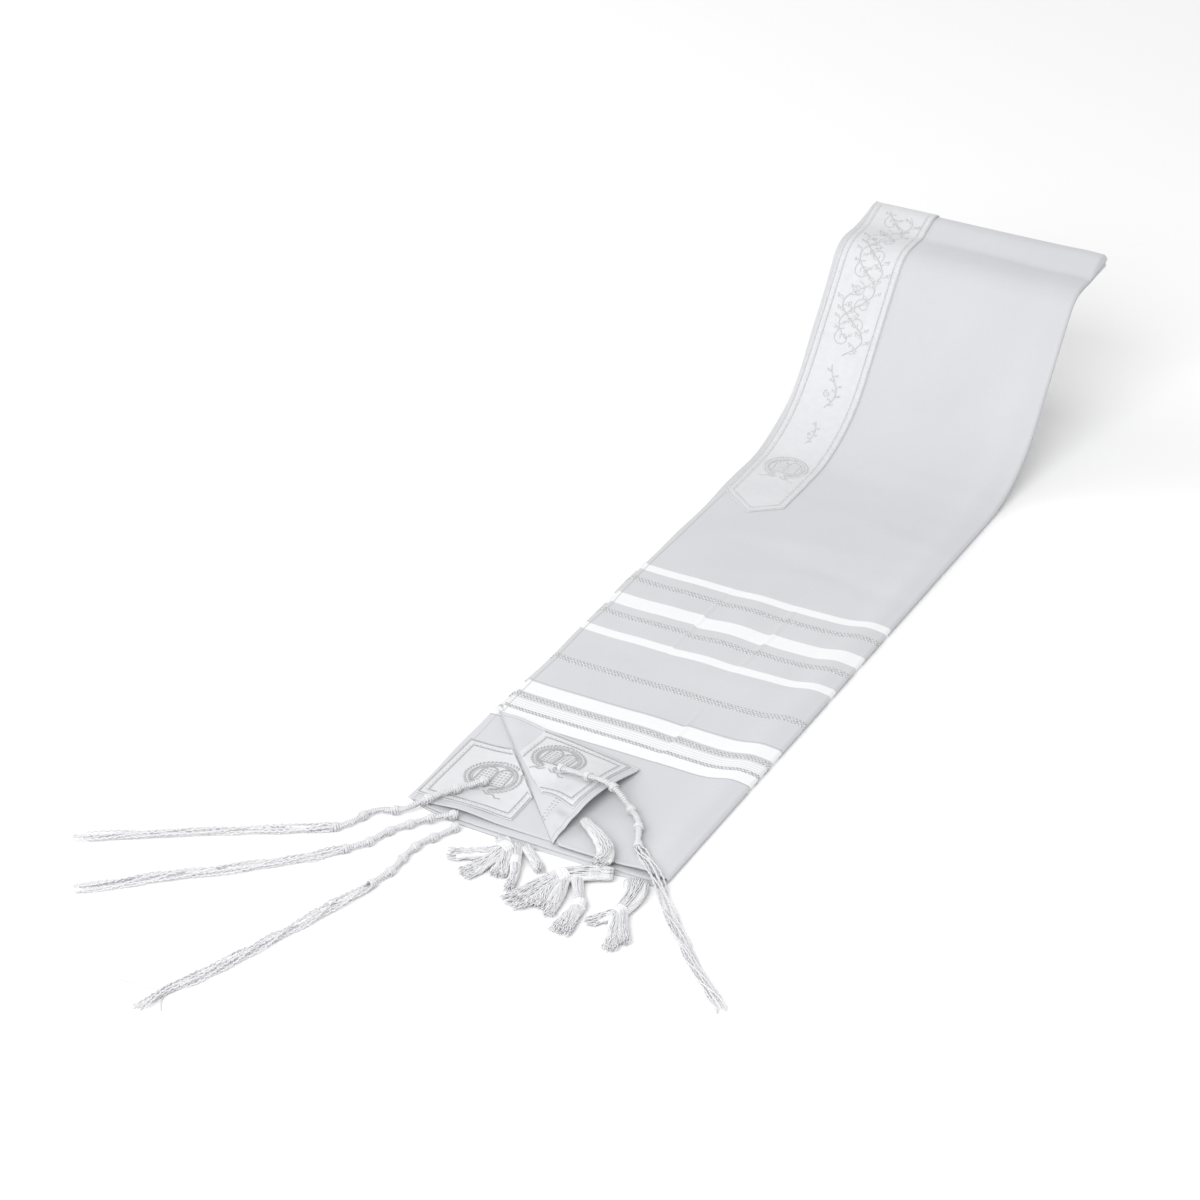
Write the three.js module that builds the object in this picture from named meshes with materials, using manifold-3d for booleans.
// A folded tallit prayer shawl that lies on a surface, with its far end laid on a small riser stand.
// Units are millimetres, +Z up. While it is built, x runs across the folded strip from its free
// edges (0) to its long fold (WIDTH), y runs from the front hems towards the far fold, and z = 0 is
// the surface. The finished group is moved so that its origin is under the middle of the cloth.

import * as THREE from 'three';
import { mergeVertices } from 'three/addons/utils/BufferGeometryUtils.js';
import Module from 'manifold-3d';

const wasm = await Module();
wasm.setup();

// ---------------------------------------------------------------- driving dimensions

const WIDTH = 225;                  // a quarter of the cloth lies on each other: 450 / 2
const LENGTH = 904;                 // from the front hems to the far fold, along the cloth
const GAP = 0.3;                    // what touches stays this far apart
const TOP_LIFT = 5.0;               // upper face of the top layer above the surface
const TOP_WALL = 1.3;               // thickness of the top layer, hem and weave together
const PATCH_WALL = 1.0;             // thickness of a corner patch and of the neckband
const FOLD_RADIUS = 2.4;            // outside radius of the long fold and of the far fold
const FAR_PUFF = 2.5;               // how much fuller the stack is at its far fold
const FAR_PUFF_LENGTH = 44;

// The underside of the stack, from flat on the surface, up a slope and level again on the riser.
const RAMP = {
  start: 601,
  angle: THREE.MathUtils.degToRad(51),
  lowRadius: 135,
  straight: 98.5,
  highRadius: 30,
};

// The three layers under the top one. Each is as wide and long as the cloth, but none lies exactly
// on the next, so that their free edges and hems show as steps.
const LAYERS = [
  { bottom: 0.0, top: 1.25, left: -0.5, right: WIDTH - 0.3, front: -4, back: LENGTH - 1.0 },
  { bottom: 1.1, top: 2.3, left: -1.5, right: WIDTH - 0.6, front: 0, back: LENGTH - 1.6 },
  { bottom: 2.15, top: 3.4, left: -3.0, right: WIDTH - 2.0, front: 8, back: LENGTH - 3.6 },
];

// The front left corner of the top layer is turned back over this line, on to the cloth.
const FOLD_LEFT = { x: 2, y: 143 };     // where the turned-back fold meets the free edge
const FOLD_FRONT = { x: 127, y: 4 };    // where it meets the front hem
const FLAP_TIP = { x: 140, y: 121 };    // where the corner itself comes to lie
const FRONT_HEM = 4;
const FLAP = {
  hemLength: 127,         // from the tip along the turned hem
  selvedgeLength: 139,    // from the tip along the turned selvedge
  depth: 88,              // from the fold to the tip
  wall: 1.2,
  lowLift: 6.5,           // upper face where it lies closest
  hemArch: 8.5,           // how far the turned hem stands up in its middle
  bodyArch: 1.5,
  rollRadius: 3.5,
  rollLift: 4.9,
};

// Both corner patches are squares, cut off by the turned-back fold.
const PATCH = { hemInset: 7, selvedgeInset: 3, side: 84, foldClear: 1.5, turnedGap: 0.6 };
const LOWER_PATCH = { x: 1, y: 16 };    // its outer corner, on the layer below

// The neckband lies along the free edge and runs over the far fold. Its front end is a blunt point.
const ATARAH_FRONT = [
  { x: 2, y: 541 },
  { x: 37, y: 516 },
  { x: 62.5, y: 536 },
];

// Plain solids of the reach of the knotted fringe. It hangs in three bunches. Each tassel of a
// bunch has rows of x, y, z of its middle, half width and half height: a neck from the hem, its
// knot, and a brush that widens to its tip.
const FRINGE = {
  fringe_left: [
    [[90, -8.5, 4.6, 5, 3], [99, -20, 5.6, 6, 4.6], [84, -32, 4.4, 4.5, 3.6], [62, -44, 3.8, 6, 3]],
    [[99, -20, 5.6, 6, 4.6], [95, -38, 4.4, 5, 3.6], [86, -62, 3.8, 7, 3]],
    [[101, -20, 5.4, 5, 4.4], [106, -34, 4.2, 5, 3.6], [110, -50, 3.6, 7, 2.8]],
    [[104, -9, 4.4, 4, 3], [114, -30, 4.6, 3.6, 3.4], [121, -45, 4.2, 3, 3], [125, -63, 3.6, 4, 2.8]],
    [[112, -9, 4.4, 4, 3], [124, -20, 4.4, 3.4, 3], [136, -30, 3.6, 4, 2.8]],
  ],
  fringe_middle: [
    [[186, -10, 5.6, 6, 4], [170, -17, 5.6, 8, 4.6], [154, -32, 6.4, 7, 5.4], [145, -52, 5, 9, 4.4],
      [134, -79, 3.8, 11, 3]],
    [[154, -32, 6.4, 6, 5.2], [153, -52, 4.6, 7, 3.8], [155, -71, 3.8, 8, 3]],
    [[157, -34, 5, 4, 4], [164, -54, 4, 3.4, 3.2], [166, -76, 3.4, 4, 2.6]],
    [[163, -24, 4.8, 4, 4], [174, -42, 4, 3.4, 3.2], [182, -56, 4.6, 4.6, 4], [183, -72, 3.8, 6, 3],
      [184, -92, 3.8, 9.5, 3]],
    [[150, 26, 10.6, 4.6, 3.4], [165, 14, 11.2, 6, 4.4], [174, 0, 10.4, 6, 4.6], [172, -13, 8, 6, 5]],
  ],
  fringe_right: [
    [[205, -9, 4.6, 10, 3], [212, -28, 5, 9, 4.4], [212, -50, 4.8, 5, 4.4], [203, -61, 4, 4, 3.4],
      [195, -70, 3.6, 4.4, 2.8]],
    [[212, -50, 4.8, 5, 4.4], [218, -70, 4, 5, 3.4], [226, -93, 3.6, 5, 2.8]],
    [[213, -50, 4.8, 5, 4.4], [222, -64, 4, 4.4, 3.4], [232, -81, 3.6, 5, 2.8]],
  ],
};

// Tzitzit: each is one bundle of four doubled threads, from its hole or its hem to its free end.
// The routes were chosen by hand: loose curves that lie on the cloth and then on the surface.
const TZITZIT_DIAMETER = 7;
const ON_SURFACE = TZITZIT_DIAMETER / 2 + GAP;
const ON_PATCH = LAYERS[2].top + PATCH_WALL + 3 * GAP + TZITZIT_DIAMETER / 2;
const ON_TOP = TOP_LIFT + GAP + TZITZIT_DIAMETER / 2;
const TZITZIT = [
  [
    [45, 50, ON_PATCH], [36, 37, ON_PATCH], [27, 24, ON_PATCH], [20, 12, 8.8], [13, -1, 8.0],
    [6, -10, 5.8], [-3, -14, 4.0], [-12, -18, ON_SURFACE], [-18, -27, ON_SURFACE],
    [-21, -39, ON_SURFACE], [-27, -50, ON_SURFACE], [-39, -59, ON_SURFACE],
    [-56, -70, ON_SURFACE], [-86, -88, ON_SURFACE], [-121, -109, ON_SURFACE],
    [-155, -131, ON_SURFACE], [-197, -158, ON_SURFACE],
  ],
  [
    [46, 2.5, 6.3], [38, -4, 6.0], [29, -11, 5.0], [19, -22, ON_SURFACE], [9, -38, ON_SURFACE],
    [3, -57, ON_SURFACE], [-7, -72, ON_SURFACE], [-22, -89, ON_SURFACE],
    [-38, -107, ON_SURFACE], [-74, -139, ON_SURFACE], [-111, -170, ON_SURFACE],
    [-158, -214, ON_SURFACE],
  ],
  [
    [52, -8.5, ON_SURFACE], [46, -24, ON_SURFACE], [38, -41, ON_SURFACE],
    [36, -60, ON_SURFACE], [37, -79, ON_SURFACE], [34, -96, ON_SURFACE],
    [30, -114, ON_SURFACE], [25, -130, ON_SURFACE], [17, -154, ON_SURFACE],
    [8, -184, ON_SURFACE], [-4, -220, ON_SURFACE], [-18, -259, ON_SURFACE],
    [-30, -286, ON_SURFACE], [-37, -312, ON_SURFACE],
  ],
  [
    [91, 82, 15.4], [101, 80, 17.0], [111, 78, 18.5], [125, 76, 20.2], [139, 73, 20.8],
    [150, 70, 16.6], [161, 65, 10.6], [172, 56, ON_TOP], [180, 42, ON_TOP],
    [187, 28, ON_TOP], [196, 18, ON_TOP], [206, 10, 9.2], [216, 0, 8.8], [226, -10, 5.6],
    [233, -18, ON_SURFACE], [243, -30, ON_SURFACE], [256, -45, ON_SURFACE],
    [270, -60, ON_SURFACE], [288, -79, ON_SURFACE], [308, -98, ON_SURFACE],
    [330, -118, ON_SURFACE],
  ],
];

// The riser stand stays narrow, well inside the cloth.
const RISER = {
  plate: { x: 112.5, y: 817, width: 205, depth: 50, height: 6 },
  pillar: { x: 108, y: 808, width: 80, depth: 30 },
  foot: { x: 108, y: 800, width: 100, depth: 94, height: 8 },
  bevel: 1.5,
};

// ---------------------------------------------------------------- shape of the laid stack

const ARC_LOW_END = RAMP.start + RAMP.lowRadius * RAMP.angle;
const STRAIGHT_END = ARC_LOW_END + RAMP.straight;
const ARC_HIGH_END = STRAIGHT_END + RAMP.highRadius * RAMP.angle;

/** Place and slope of the underside at the distance b along the cloth. */
function underside(b) {
  if (b <= RAMP.start) return { y: b, z: 0, slope: 0 };
  if (b <= ARC_LOW_END) {
    const slope = (b - RAMP.start) / RAMP.lowRadius;
    return {
      y: RAMP.start + RAMP.lowRadius * Math.sin(slope),
      z: RAMP.lowRadius * (1 - Math.cos(slope)),
      slope,
    };
  }
  const low = underside(ARC_LOW_END);
  if (b <= STRAIGHT_END) {
    const along = b - ARC_LOW_END;
    return {
      y: low.y + along * Math.cos(RAMP.angle),
      z: low.z + along * Math.sin(RAMP.angle),
      slope: RAMP.angle,
    };
  }
  const high = underside(STRAIGHT_END);
  const slope = Math.max(0, RAMP.angle - (b - STRAIGHT_END) / RAMP.highRadius);
  const arc = {
    y: high.y + RAMP.highRadius * (Math.sin(RAMP.angle) - Math.sin(slope)),
    z: high.z + RAMP.highRadius * (Math.cos(slope) - Math.cos(RAMP.angle)),
  };
  return { y: arc.y + Math.max(0, b - ARC_HIGH_END), z: arc.z, slope };
}

/** The stack swells towards the far fold, where the four layers turn. */
function puff(b) {
  const t = THREE.MathUtils.smoothstep(b, LENGTH - FAR_PUFF_LENGTH, LENGTH - 4);
  return 1 + (FAR_PUFF - 1) * t;
}

/** Point of the stack at x across, b along and lift above the underside. */
function stackPoint(x, b, lift) {
  const base = underside(b);
  const height = lift * puff(b);
  return new THREE.Vector3(
    x,
    base.y - height * Math.sin(base.slope),
    base.z + height * Math.cos(base.slope),
  );
}

/** Point of the top layer, where sideTurn and farTurn wrap it a quarter turn round its folds. */
function topPoint(x, b, depth, sideTurn = 0, farTurn = 0) {
  const radius = FOLD_RADIUS - depth;
  const drop = radius * (1 - Math.cos(sideTurn) * Math.cos(farTurn));
  const across = x + radius * Math.sin(sideTurn);
  const point = stackPoint(across, b, TOP_LIFT - depth - drop);
  point.y += radius * FAR_PUFF * Math.sin(farTurn);
  return point;
}

/** Distances along the cloth where a row of points is needed on the slope and on the riser. */
function slopeRows(last) {
  const rows = [];
  const spans = [
    { from: RAMP.start, to: ARC_LOW_END, steps: 11 },
    { from: ARC_LOW_END, to: STRAIGHT_END, steps: 3 },
    { from: STRAIGHT_END, to: ARC_HIGH_END, steps: 6 },
    { from: ARC_HIGH_END, to: last, steps: 6 },
  ];
  for (const { from, to, steps } of spans) {
    for (let i = 0; i < steps; i++) rows.push(from + ((to - from) * i) / steps);
  }
  rows.push(last);
  return rows;
}

// ---------------------------------------------------------------- mesh helpers

/** Closed wall between two equal grids of points, rows[i][j] above and below. */
function wallBetween(upper, lower) {
  const rows = upper.length;
  const columns = upper[0].length;
  const points = [...upper.flat(), ...lower.flat()];
  const offset = rows * columns;
  const index = [];
  const quad = (a, b, c, d) => index.push(a, b, c, a, c, d);
  for (let i = 0; i + 1 < rows; i++) {
    for (let j = 0; j + 1 < columns; j++) {
      const a = i * columns + j;
      quad(a, a + 1, a + columns + 1, a + columns);
      quad(offset + a, offset + a + columns, offset + a + columns + 1, offset + a + 1);
    }
  }
  for (let j = 0; j + 1 < columns; j++) {
    const far = (rows - 1) * columns + j;
    quad(j, offset + j, offset + j + 1, j + 1);
    quad(far, far + 1, offset + far + 1, offset + far);
  }
  for (let i = 0; i + 1 < rows; i++) {
    const a = i * columns;
    const b = a + columns - 1;
    quad(a, a + columns, offset + a + columns, offset + a);
    quad(b, offset + b, offset + b + columns, b + columns);
  }
  return closedGeometry(points, index);
}

/** Closed tube or slab through equal rings of points, capped at both ends. */
function loft(rings) {
  const sides = rings[0].length;
  const points = rings.flat();
  const index = [];
  for (let i = 0; i + 1 < rings.length; i++) {
    for (let j = 0; j < sides; j++) {
      const a = i * sides + j;
      const b = i * sides + ((j + 1) % sides);
      index.push(a, b, b + sides, a, b + sides, a + sides);
    }
  }
  for (const [ring, flip] of [[0, true], [rings.length - 1, false]]) {
    const centre = new THREE.Vector3();
    rings[ring].forEach((point) => centre.add(point));
    points.push(centre.divideScalar(sides));
    for (let j = 0; j < sides; j++) {
      const a = ring * sides + j;
      const b = ring * sides + ((j + 1) % sides);
      const hub = points.length - 1;
      index.push(...(flip ? [hub, b, a] : [hub, a, b]));
    }
  }
  return closedGeometry(points, index);
}

/** Geometry of shared points, turned right side out if its volume comes out negative. */
function closedGeometry(points, index) {
  let volume = 0;
  for (let i = 0; i < index.length; i += 3) {
    const [a, b, c] = [points[index[i]], points[index[i + 1]], points[index[i + 2]]];
    volume += a.dot(b.clone().cross(c));
  }
  if (volume < 0) {
    for (let i = 0; i < index.length; i += 3) {
      [index[i + 1], index[i + 2]] = [index[i + 2], index[i + 1]];
    }
  }
  const geometry = new THREE.BufferGeometry();
  geometry.setAttribute('position', new THREE.Float32BufferAttribute(points.flatMap((p) => [...p]), 3));
  geometry.setIndex(index);
  return geometry;
}

function toSolid(geometry) {
  const plain = geometry.clone();
  plain.deleteAttribute('normal');
  plain.deleteAttribute('uv');
  const merged = mergeVertices(plain, 1e-4);
  return new wasm.Manifold(new wasm.Mesh({
    numProp: 3,
    vertProperties: new Float32Array(merged.attributes.position.array),
    triVerts: new Uint32Array(merged.index.array),
  }));
}

function fromSolid(solid) {
  const mesh = solid.getMesh();
  const geometry = new THREE.BufferGeometry();
  geometry.setAttribute('position', new THREE.BufferAttribute(new Float32Array(mesh.vertProperties), 3));
  geometry.setIndex(new THREE.BufferAttribute(new Uint32Array(mesh.triVerts), 1));
  return geometry;
}

// ---------------------------------------------------------------- cloth

/** Where the turned-back fold crosses x, moved away from the corner by clear. */
function foldLine(x, clear = 0) {
  const run = FOLD_FRONT.x - FOLD_LEFT.x;
  const fall = FOLD_LEFT.y - FOLD_FRONT.y;
  const along = FOLD_LEFT.y - ((x - FOLD_LEFT.x) * fall) / run;
  return along + (clear * Math.hypot(run, fall)) / run;
}

/** Top layer: a wall with its corner cut at the turned-back fold, wrapped round both folds. */
function topLayer() {
  const sideSteps = [0, 0.25, 0.5, 0.75, 1];
  const foldX = WIDTH - FOLD_RADIUS;
  const clear = FLAP.rollRadius + GAP;
  const columns = [0, 45, 90, FOLD_FRONT.x + clear, 160, 190].map((x) => ({ x, side: 0 }));
  sideSteps.forEach((t) => columns.push({ x: foldX, side: (t * Math.PI) / 2 }));
  const firstRow = (x) => Math.max(FRONT_HEM, foldLine(x, clear));
  const farRow = LENGTH - FOLD_RADIUS * FAR_PUFF;
  const rows = [0, 0.5, 1].map((t) => ({ blend: t, far: 0 }));
  slopeRows(farRow).forEach((b) => rows.push({ b, far: 0 }));
  [0.25, 0.5, 0.75, 1].forEach((t) => rows.push({ b: farRow, far: (t * Math.PI) / 2 }));
  const flatEnd = RAMP.start - 60;
  const grid = (depth) => rows.map((row) => columns.map(({ x, side }) => {
    const b = row.b ?? THREE.MathUtils.lerp(firstRow(x), flatEnd, row.blend);
    return topPoint(x, b, depth, side, row.far);
  }));
  return wallBetween(grid(0), grid(TOP_WALL));
}

/** One hidden layer: a slab with rounded edges, which follows the underside. */
function hiddenLayer({ bottom, top, left, right, front, back }) {
  const middle = (bottom + top) / 2;
  const half = (top - bottom) / 2;
  const round = [-1, -0.5, 0, 0.5, 1].map((t) => (t * Math.PI) / 2);
  const ring = (b, squeeze) => {
    const section = [
      ...round.map((a) => [right - half + half * Math.cos(a), middle + squeeze * half * Math.sin(a)]),
      ...round.map((a) => [left + half - half * Math.cos(a), middle - squeeze * half * Math.sin(a)]),
    ];
    return section.map(([x, lift]) => stackPoint(x, b, lift));
  };
  const nose = half * FAR_PUFF;
  const rings = [ring(front, 0.6), ring(front + half, 1), ring(RAMP.start - 60, 1)];
  slopeRows(back - nose).forEach((b) => rings.push(ring(b, 1)));
  [0.5, 0.85, 1].forEach((t) => rings.push(ring(back - nose + nose * t, Math.sqrt(1.05 - t * t))));
  return loft(rings);
}

function hiddenLayers() {
  return fromSolid(LAYERS.map((layer) => toSolid(hiddenLayer(layer))).reduce((all, one) => all.add(one)));
}

/**
 * Point of the turned corner. alongHem and alongSelvedge are distances from the tip, and lift is
 * above its upper face. The hem arches up, and the cloth rolls down where it turns over.
 */
function flapPoint(alongHem, alongSelvedge, lift) {
  const a = alongHem / FLAP.hemLength;
  const b = alongSelvedge / FLAP.selvedgeLength;
  const x = FLAP_TIP.x * (1 - a - b) + FOLD_FRONT.x * a + FOLD_LEFT.x * b;
  const y = FLAP_TIP.y * (1 - a - b) + FOLD_FRONT.y * a + FOLD_LEFT.y * b;
  const fromFold = Math.max(0, (1 - a - b) * FLAP.depth);
  const hemRise = FLAP.hemArch * Math.sin(Math.PI * Math.min(a, 1)) * Math.max(0, 1 - 1.6 * b) ** 2;
  const body = FLAP.bodyArch * Math.sin(Math.PI * Math.min(a + b, 1));
  let z = FLAP.lowLift + hemRise + body;
  if (fromFold < FLAP.rollRadius) {
    const t = 1 - fromFold / FLAP.rollRadius;
    z -= (z - FLAP.rollLift) * (1 - Math.sqrt(1 - t * t));
  }
  return new THREE.Vector3(x, y, z + lift);
}

/** Turned corner: a triangular wall, in rows that run across it from hem to fold. */
function cornerFlap() {
  const fromTip = [0.02, 0.15, 0.3, 0.45, 0.6, 0.72, 0.82, 0.9, 0.962, 0.98, 0.992, 1];
  const across = 10;
  const grid = (lift) => fromTip.map((w) => {
    const row = [];
    for (let j = 0; j <= across; j++) {
      const share = j / across;
      row.push(flapPoint(w * (1 - share) * FLAP.hemLength, w * share * FLAP.selvedgeLength, lift));
    }
    return row;
  });
  return wallBetween(grid(0), grid(-FLAP.wall));
}

/** Patch on the turned corner, from the corner's own points moved out. */
function turnedPatch() {
  const steps = 8;
  const { hemInset, selvedgeInset, side, foldClear, turnedGap } = PATCH;
  const reach = (alongHem) => {
    const share = 1 - alongHem / FLAP.hemLength - foldClear / FLAP.depth;
    return Math.min(hemInset + side, share * FLAP.selvedgeLength);
  };
  const grid = (lift) => {
    const rows = [];
    for (let i = 0; i <= steps; i++) {
      const alongHem = selvedgeInset + (side * i) / steps;
      const row = [];
      for (let j = 0; j <= steps; j++) {
        const share = j / steps;
        row.push(flapPoint(alongHem, hemInset + (reach(alongHem) - hemInset) * share, lift));
      }
      rows.push(row);
    }
    return rows;
  };
  return wallBetween(grid(turnedGap + PATCH_WALL), grid(turnedGap));
}

/** Patch on the layer below, in the corner that the turned one has laid bare. */
function lowerPatch() {
  const { side, foldClear } = PATCH;
  const low = LOWER_PATCH;
  const high = { x: low.x + side, y: low.y + side };
  const slope = (FOLD_LEFT.y - FOLD_FRONT.y) / (FOLD_FRONT.x - FOLD_LEFT.x);
  const foldAtRight = foldLine(high.x, -foldClear);
  const foldAtTop = high.x - (high.y - foldAtRight) / slope;
  const outline = new THREE.Shape();
  outline.moveTo(low.x, low.y);
  outline.lineTo(high.x, low.y);
  outline.lineTo(high.x, foldAtRight);
  outline.lineTo(foldAtTop, high.y);
  outline.lineTo(low.x, high.y);
  const geometry = new THREE.ExtrudeGeometry(outline, { depth: PATCH_WALL, bevelEnabled: false });
  return geometry.translate(0, 0, LAYERS[2].top + GAP);
}

/** Neckband: a wall on the top layer, whose front row follows its pointed end. */
function atarah() {
  const farRow = LENGTH - FOLD_RADIUS * FAR_PUFF;
  const rows = slopeRows(farRow).map((b) => ({ b, far: 0 }));
  [0.25, 0.5, 0.75, 1].forEach((t) => rows.push({ b: farRow, far: (t * Math.PI) / 2 }));
  const grid = (depth) => [
    ATARAH_FRONT.map(({ x, y }) => topPoint(x, y, depth)),
    ...rows.map((row) => ATARAH_FRONT.map(({ x }) => topPoint(x, row.b, depth, 0, row.far))),
  ];
  return wallBetween(grid(-GAP - PATCH_WALL), grid(-GAP));
}

// ---------------------------------------------------------------- fringe, tzitzit and riser

/** Plain solid of one tassel: elliptic rings on a smooth curve, as wide and high as its rows say. */
function tassel(rows) {
  const curve = new THREE.CatmullRomCurve3(rows.map(([x, y, z]) => new THREE.Vector3(x, y, z)));
  const up = new THREE.Vector3(0, 0, 1);
  const sides = 10;
  const stepsPerRow = 2;
  const last = rows.length - 1;
  const rings = [];
  for (let i = 0; i <= last * stepsPerRow; i++) {
    const at = i / stepsPerRow;
    const row = Math.min(Math.floor(at), last - 1);
    const size = (k) => THREE.MathUtils.lerp(rows[row][k], rows[row + 1][k], at - row);
    const centre = curve.getPoint(at / last);
    const side = curve.getTangent(at / last).cross(up).normalize();
    const ring = [];
    for (let j = 0; j < sides; j++) {
      const angle = (j / sides) * Math.PI * 2;
      ring.push(centre.clone()
        .addScaledVector(side, size(3) * Math.cos(angle))
        .addScaledVector(up, size(4) * Math.sin(angle)));
    }
    rings.push(ring);
  }
  return loft(rings);
}

/** One bunch of the fringe: its tassels joined, and cut level just above the surface. */
function fringeBunch(tassels) {
  const joined = tassels.map((rows) => toSolid(tassel(rows))).reduce((all, one) => all.add(one));
  return fromSolid(joined.trimByPlane([0, 0, 1], 0.2));
}

/** Plain tube of one tzitzit along its whole route. */
function tzitzitTube(route) {
  const curve = new THREE.CatmullRomCurve3(route.map((p) => new THREE.Vector3(...p)), false, 'centripetal');
  const section = new THREE.Shape();
  const sides = 10;
  for (let i = 0; i < sides; i++) {
    const angle = (i / sides) * Math.PI * 2;
    const x = (TZITZIT_DIAMETER / 2) * Math.cos(angle);
    const y = (TZITZIT_DIAMETER / 2) * Math.sin(angle);
    if (i === 0) section.moveTo(x, y);
    else section.lineTo(x, y);
  }
  const steps = Math.round(curve.getLength() / (2 * TZITZIT_DIAMETER));
  return new THREE.ExtrudeGeometry(section, { steps, extrudePath: curve, bevelEnabled: false });
}

/** Block with softened edges, standing on bottom and ending at top. */
function softBlock({ x, y, width, depth }, bottom, top) {
  const { bevel } = RISER;
  const halfX = width / 2 - bevel;
  const halfY = depth / 2 - bevel;
  const corner = 6;
  const outline = new THREE.Shape();
  outline.moveTo(-halfX + corner, -halfY);
  outline.lineTo(halfX - corner, -halfY);
  outline.absarc(halfX - corner, -halfY + corner, corner, -Math.PI / 2, 0);
  outline.lineTo(halfX, halfY - corner);
  outline.absarc(halfX - corner, halfY - corner, corner, 0, Math.PI / 2);
  outline.lineTo(-halfX + corner, halfY);
  outline.absarc(-halfX + corner, halfY - corner, corner, Math.PI / 2, Math.PI);
  outline.lineTo(-halfX, -halfY + corner);
  outline.absarc(-halfX + corner, -halfY + corner, corner, Math.PI, Math.PI * 1.5);
  const geometry = new THREE.ExtrudeGeometry(outline, {
    depth: top - bottom - 2 * bevel,
    bevelThickness: bevel,
    bevelSize: bevel,
    bevelSegments: 3,
    curveSegments: 6,
  });
  return geometry.translate(x, y, bottom + bevel);
}

// ---------------------------------------------------------------- assembly

const tallit = new THREE.Group();
tallit.name = 'tallit_on_riser';

const clothWhite = new THREE.MeshStandardMaterial({ color: 0xe6e7e8, roughness: 0.85, metalness: 0 });
const satinWhite = new THREE.MeshStandardMaterial({ color: 0xf2f2f4, roughness: 0.5, metalness: 0 });
const threadWhite = new THREE.MeshStandardMaterial({ color: 0xf0f0ee, roughness: 0.95, metalness: 0 });
const standWhite = new THREE.MeshStandardMaterial({ color: 0xededeb, roughness: 0.45, metalness: 0 });

function addPiece(parent, name, geometry, material) {
  const mesh = new THREE.Mesh(geometry, material);
  mesh.name = name;
  parent.add(mesh);
  return mesh;
}

const cloth = new THREE.Group();
addPiece(cloth, 'shawl_top', topLayer(), clothWhite);
addPiece(cloth, 'hidden_layers', hiddenLayers(), clothWhite);
addPiece(cloth, 'corner_flap', cornerFlap(), clothWhite);
addPiece(cloth, 'patch_lower', lowerPatch(), satinWhite);
addPiece(cloth, 'patch_turned', turnedPatch(), satinWhite);
addPiece(cloth, 'atarah', atarah(), satinWhite);
for (const [name, tassels] of Object.entries(FRINGE)) {
  addPiece(cloth, name, fringeBunch(tassels), threadWhite);
}

const shelf = underside(LENGTH).z - GAP;
const plateBottom = shelf - RISER.plate.height;
const riser = new THREE.Group();
addPiece(riser, 'riser_plate', softBlock(RISER.plate, plateBottom, shelf), standWhite);
addPiece(riser, 'riser_pillar', softBlock(RISER.pillar, RISER.foot.height + GAP, plateBottom - GAP), standWhite);
addPiece(riser, 'riser_foot', softBlock(RISER.foot, 0, RISER.foot.height), standWhite);

const cords = new THREE.Group();
TZITZIT.forEach((route, i) => addPiece(cords, `tzitzit_${i + 1}`, tzitzitTube(route), threadWhite));

tallit.add(cloth, riser, cords);

// The origin is at the middle of the box of the cloth and its stand, on the surface.
const extent = new THREE.Box3().setFromObject(cloth).union(new THREE.Box3().setFromObject(riser));
const middle = extent.getCenter(new THREE.Vector3());
tallit.position.set(-middle.x, -middle.y, 0);

export default tallit;
